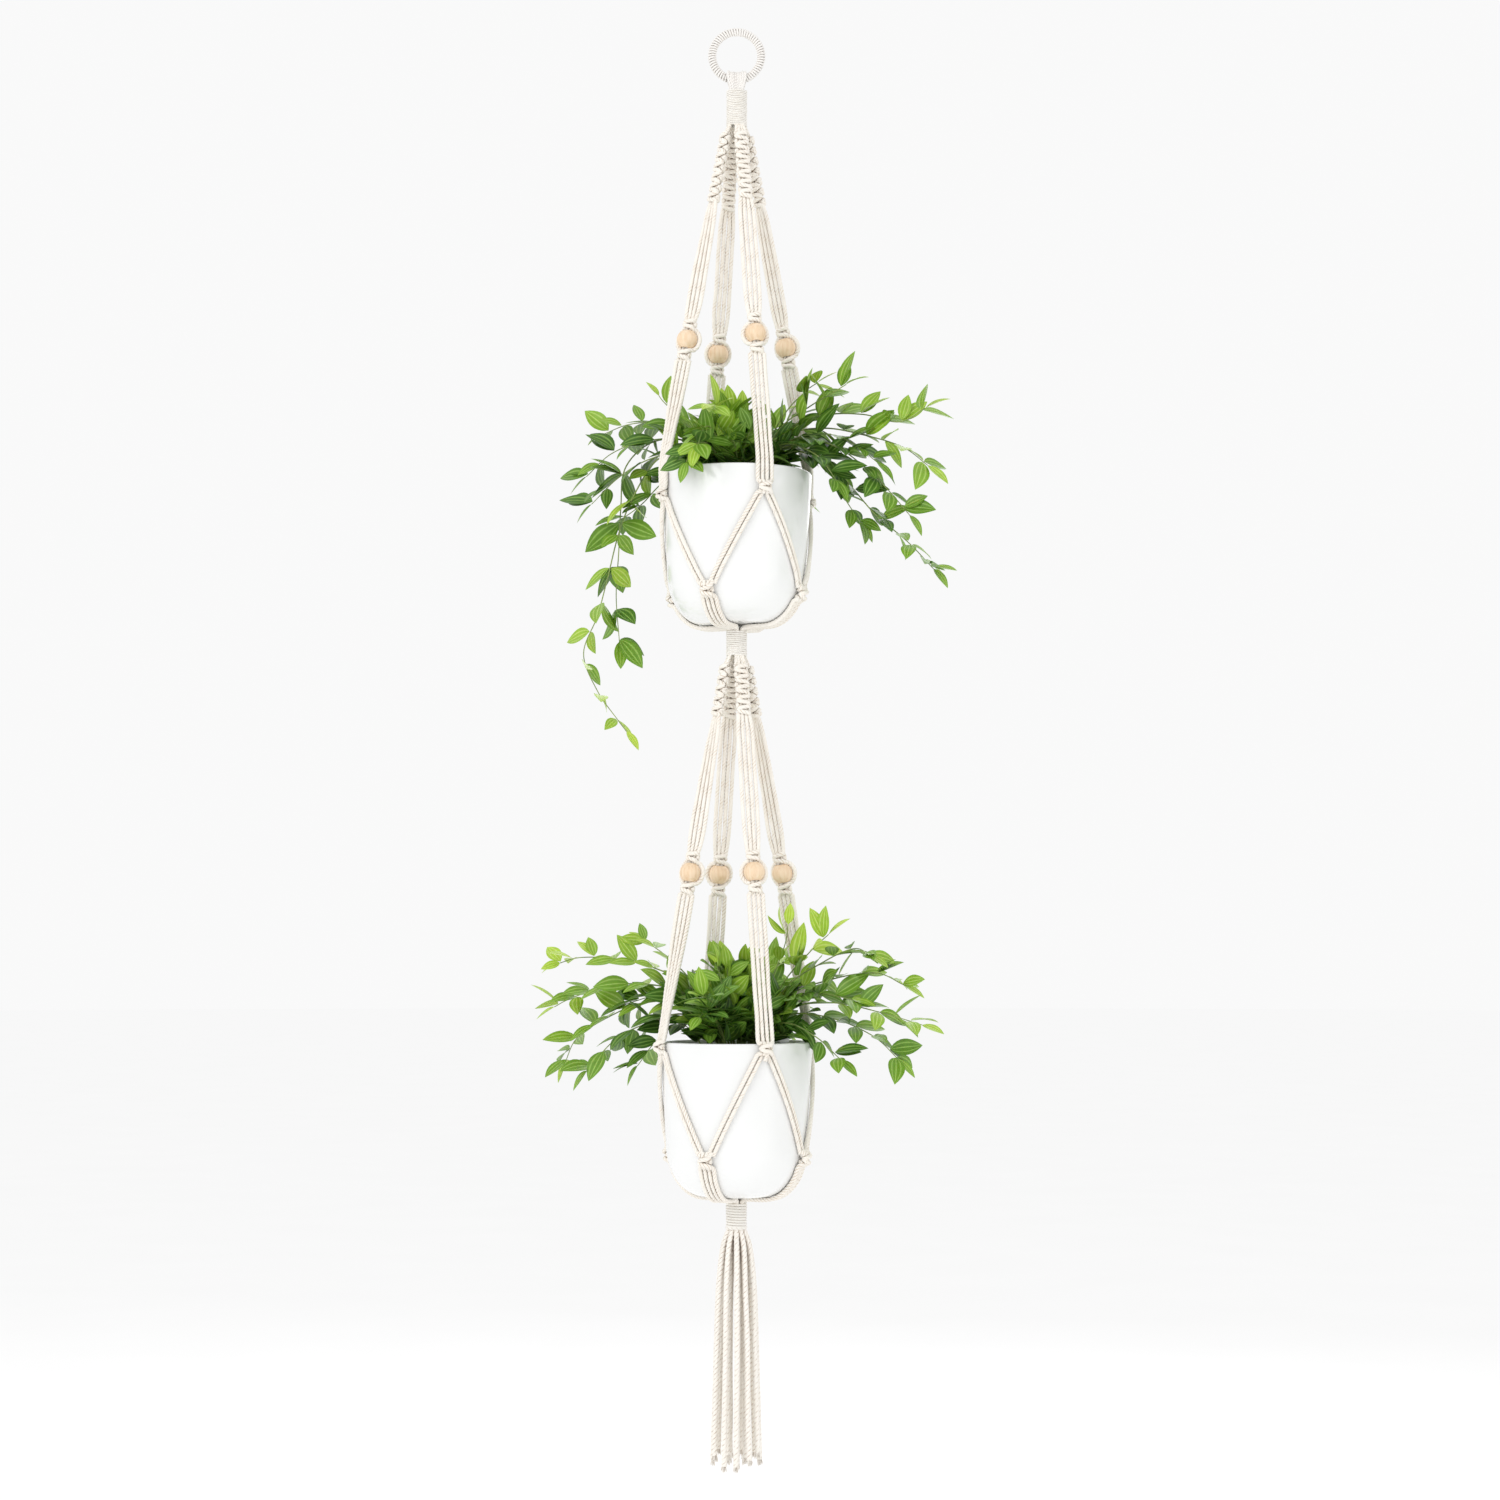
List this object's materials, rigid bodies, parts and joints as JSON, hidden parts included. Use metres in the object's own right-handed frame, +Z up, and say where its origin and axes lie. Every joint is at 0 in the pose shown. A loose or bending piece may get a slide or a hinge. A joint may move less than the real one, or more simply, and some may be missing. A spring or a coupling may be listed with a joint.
{
  "type": "hanging macrame planter",
  "caption": "Knotted cotton cord hanger with two tiers, each holding a round pot with a leafy plant in a net of cords, under a wound ring and over a tassel.",
  "frame": {"origin": "the point inside the top of the ring that rests on a hook", "axes": "+Z up along the middle axis of the hanger, -Y towards the front, +X to the right seen from the front"},
  "size_m": [0.4794, 0.3307, 1.6991],
  "materials": {
    "cotton": "matt",
    "hoop": "satin",
    "bead_wood": "satin",
    "pot_glaze": "gloss",
    "soil": "matt",
    "leaf": "satin"
  },
  "bodies": {
    "ring": {"ring_hoop": "hoop", "ring_winding": "cotton"},
    "head": {"cord_folds": "cotton", "top_wrap": "cotton"},
    "upper_tier": {"upper_arm_front": "cotton", "upper_arm_right": "cotton", "upper_arm_rear": "cotton", "upper_arm_left": "cotton", "upper_leg_front": "cotton", "upper_leg_right": "cotton", "upper_leg_rear": "cotton", "upper_leg_left": "cotton", "upper_cradle": "cotton", "middle_wrap": "cotton"},
    "upper_pot": {"upper_pot": "pot_glaze", "upper_soil": "soil", "upper_plant": "leaf"},
    "upper_bead_front": {"upper_bead_front": "bead_wood"},
    "upper_bead_right": {"upper_bead_right": "bead_wood"},
    "upper_bead_rear": {"upper_bead_rear": "bead_wood"},
    "upper_bead_left": {"upper_bead_left": "bead_wood"},
    "lower_tier": {"lower_arm_front": "cotton", "lower_arm_right": "cotton", "lower_arm_rear": "cotton", "lower_arm_left": "cotton", "lower_leg_front": "cotton", "lower_leg_right": "cotton", "lower_leg_rear": "cotton", "lower_leg_left": "cotton", "lower_cradle": "cotton", "bottom_wrap": "cotton"},
    "lower_pot": {"lower_pot": "pot_glaze", "lower_soil": "soil", "lower_plant": "leaf"},
    "lower_bead_front": {"lower_bead_front": "bead_wood"},
    "lower_bead_right": {"lower_bead_right": "bead_wood"},
    "lower_bead_rear": {"lower_bead_rear": "bead_wood"},
    "lower_bead_left": {"lower_bead_left": "bead_wood"},
    "tassel": {"tassel_cord_01": "cotton", "tassel_cord_02": "cotton", "tassel_cord_03": "cotton", "tassel_cord_04": "cotton", "tassel_cord_05": "cotton", "tassel_cord_06": "cotton", "tassel_cord_07": "cotton", "tassel_cord_08": "cotton", "tassel_cord_09": "cotton", "tassel_cord_10": "cotton", "tassel_cord_11": "cotton", "tassel_cord_12": "cotton", "tassel_cord_13": "cotton", "tassel_cord_14": "cotton", "tassel_cord_15": "cotton", "tassel_cord_16": "cotton"}
  },
  "joints": [
    {"name": "head_rock", "type": "hinge", "parent": "ring", "child": "head", "pos_m": [0, 0, -0.0533], "axis": [1, 0, 0], "range_deg": [-12, 12]},
    {"name": "upper_sway", "type": "hinge", "parent": "head", "child": "upper_tier", "pos_m": [0, 0, -0.1108], "axis": [0, 1, 0], "range_deg": [-8, 8]},
    {"name": "lower_swing", "type": "hinge", "parent": "upper_tier", "child": "lower_tier", "pos_m": [0, 0, -0.7456], "axis": [1, 0, 0], "range_deg": [-8, 8]},
    {"name": "tassel_sway", "type": "hinge", "parent": "lower_tier", "child": "tassel", "pos_m": [0, 0, -1.4114], "axis": [0, 1, 0], "range_deg": [-8, 8]},
    {"name": "upper_pot_turn", "type": "hinge", "parent": "upper_tier", "child": "upper_pot", "pos_m": [0, 0, -0.7068], "axis": [0, 0, 1], "range_deg": [-10, 10]},
    {"name": "upper_bead_front_spin", "type": "hinge", "parent": "upper_tier", "child": "upper_bead_front", "pos_m": [0.02236, -0.05826, -0.3718], "axis": [-0.0679, 0.1768, 0.9819], "continuous": true},
    {"name": "upper_bead_right_spin", "type": "hinge", "parent": "upper_tier", "child": "upper_bead_right", "pos_m": [0.05826, 0.02236, -0.3718], "axis": [-0.1768, -0.0679, 0.9819], "continuous": true},
    {"name": "upper_bead_rear_spin", "type": "hinge", "parent": "upper_tier", "child": "upper_bead_rear", "pos_m": [-0.02236, 0.05826, -0.3718], "axis": [0.0679, -0.1768, 0.9819], "continuous": true},
    {"name": "upper_bead_left_spin", "type": "hinge", "parent": "upper_tier", "child": "upper_bead_left", "pos_m": [-0.05826, -0.02236, -0.3718], "axis": [0.1768, 0.0679, 0.9819], "continuous": true},
    {"name": "lower_pot_turn", "type": "hinge", "parent": "lower_tier", "child": "lower_pot", "pos_m": [0, 0, -1.3726], "axis": [0, 0, 1], "range_deg": [-10, 10]},
    {"name": "lower_bead_front_spin", "type": "hinge", "parent": "lower_tier", "child": "lower_bead_front", "pos_m": [0.02062, -0.05371, -0.9986], "axis": [-0.0632, 0.1647, 0.9843], "continuous": true},
    {"name": "lower_bead_right_spin", "type": "hinge", "parent": "lower_tier", "child": "lower_bead_right", "pos_m": [0.05371, 0.02062, -0.9986], "axis": [-0.1647, -0.0632, 0.9843], "continuous": true},
    {"name": "lower_bead_rear_spin", "type": "hinge", "parent": "lower_tier", "child": "lower_bead_rear", "pos_m": [-0.02062, 0.05371, -0.9986], "axis": [0.0632, -0.1647, 0.9843], "continuous": true},
    {"name": "lower_bead_left_spin", "type": "hinge", "parent": "lower_tier", "child": "lower_bead_left", "pos_m": [-0.05371, -0.02062, -0.9986], "axis": [0.1647, 0.0632, 0.9843], "continuous": true}
  ]
}
